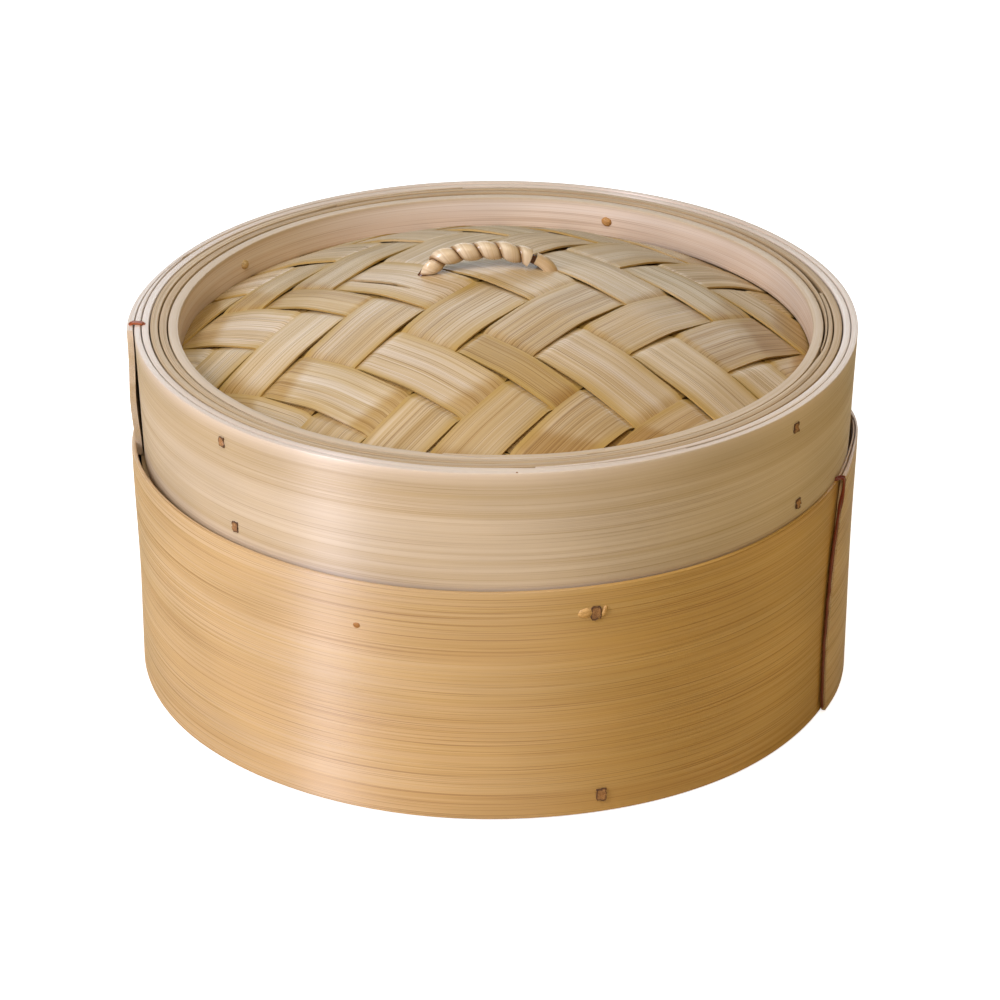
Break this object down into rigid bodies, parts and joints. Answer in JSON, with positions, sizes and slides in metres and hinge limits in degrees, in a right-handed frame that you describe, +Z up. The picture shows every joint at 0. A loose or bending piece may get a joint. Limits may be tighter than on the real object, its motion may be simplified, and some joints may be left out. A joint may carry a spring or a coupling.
{
  "type": "bamboo steamer basket",
  "caption": "Round bamboo steamer basket with a slatted floor and a lift-off domed lid of wide woven strips, with a small cane loop handle on top.",
  "frame": {"origin": "centre of the face that the basket stands on", "axes": "+Z up through the lid's handle, -Y towards the front; the basket band's lap is at the right, +X, a little to the front"},
  "size_m": [0.2499, 0.2498, 0.1521],
  "materials": {
    "basket_band": "bent bamboo band, planed, satin, honey coloured",
    "lid_band": "bent bamboo band, planed, satin, pale pinkish cream",
    "packing_ply": "thin split bamboo plies, raw edges",
    "inner_band": "pale bamboo hoop, planed",
    "weave_strip": "shaved bamboo strip with long fibres, satin",
    "lining_mat": "finely woven bamboo mat",
    "floor_slat": "split bamboo slat, planed",
    "peg": "whittled bamboo peg, brown end grain",
    "handle_cane": "glossy peeled cane",
    "lacing": "stained split cane lacing"
  },
  "bodies": {
    "basket": {"basket_outer_band": "basket_band", "basket_middle_band": "packing_ply", "basket_seat_band": "inner_band", "basket_foot_band": "inner_band", "floor_slat_1": "floor_slat", "floor_slat_2": "floor_slat", "floor_slat_3": "floor_slat", "floor_slat_4": "floor_slat", "floor_slat_5": "floor_slat", "floor_slat_6": "floor_slat", "floor_slat_7": "floor_slat", "floor_slat_8": "floor_slat", "floor_batten_1": "floor_slat", "floor_batten_2": "floor_slat", "basket_peg_upper_1": "peg", "basket_peg_upper_2": "peg", "basket_peg_upper_3": "peg", "basket_peg_upper_4": "peg", "basket_peg_lower_1": "peg", "basket_peg_lower_2": "peg", "basket_peg_lower_3": "peg", "basket_peg_lower_4": "peg", "basket_lacing": "lacing"},
    "lid": {"lid_outer_band": "lid_band", "lid_packing_outer": "packing_ply", "lid_packing_inner": "packing_ply", "lid_inner_band": "inner_band", "lid_clamp_band": "inner_band", "lid_lining": "lining_mat", "weave_strip_a1": "weave_strip", "weave_strip_a2": "weave_strip", "weave_strip_a3": "weave_strip", "weave_strip_a4": "weave_strip", "weave_strip_a5": "weave_strip", "weave_strip_a6": "weave_strip", "weave_strip_a7": "weave_strip", "weave_strip_a8": "weave_strip", "weave_strip_a9": "weave_strip", "weave_strip_a10": "weave_strip", "weave_strip_b1": "weave_strip", "weave_strip_b2": "weave_strip", "weave_strip_b3": "weave_strip", "weave_strip_b4": "weave_strip", "weave_strip_b5": "weave_strip", "weave_strip_b6": "weave_strip", "weave_strip_b7": "weave_strip", "weave_strip_b8": "weave_strip", "weave_strip_b9": "weave_strip", "weave_strip_b10": "weave_strip", "handle_core": "handle_cane", "handle_wrap": "handle_cane", "lid_peg_upper_1": "peg", "lid_peg_upper_2": "peg", "lid_peg_upper_3": "peg", "lid_peg_upper_4": "peg", "lid_peg_lower_1": "peg", "lid_peg_lower_2": "peg", "lid_peg_lower_3": "peg", "lid_peg_lower_4": "peg", "lid_lacing": "lacing"}
  },
  "joints": [
    {"name": "lid_lift", "type": "slide", "parent": "basket", "child": "lid", "axis": [0, 0, 1], "range_m": [0, 0.12]}
  ]
}
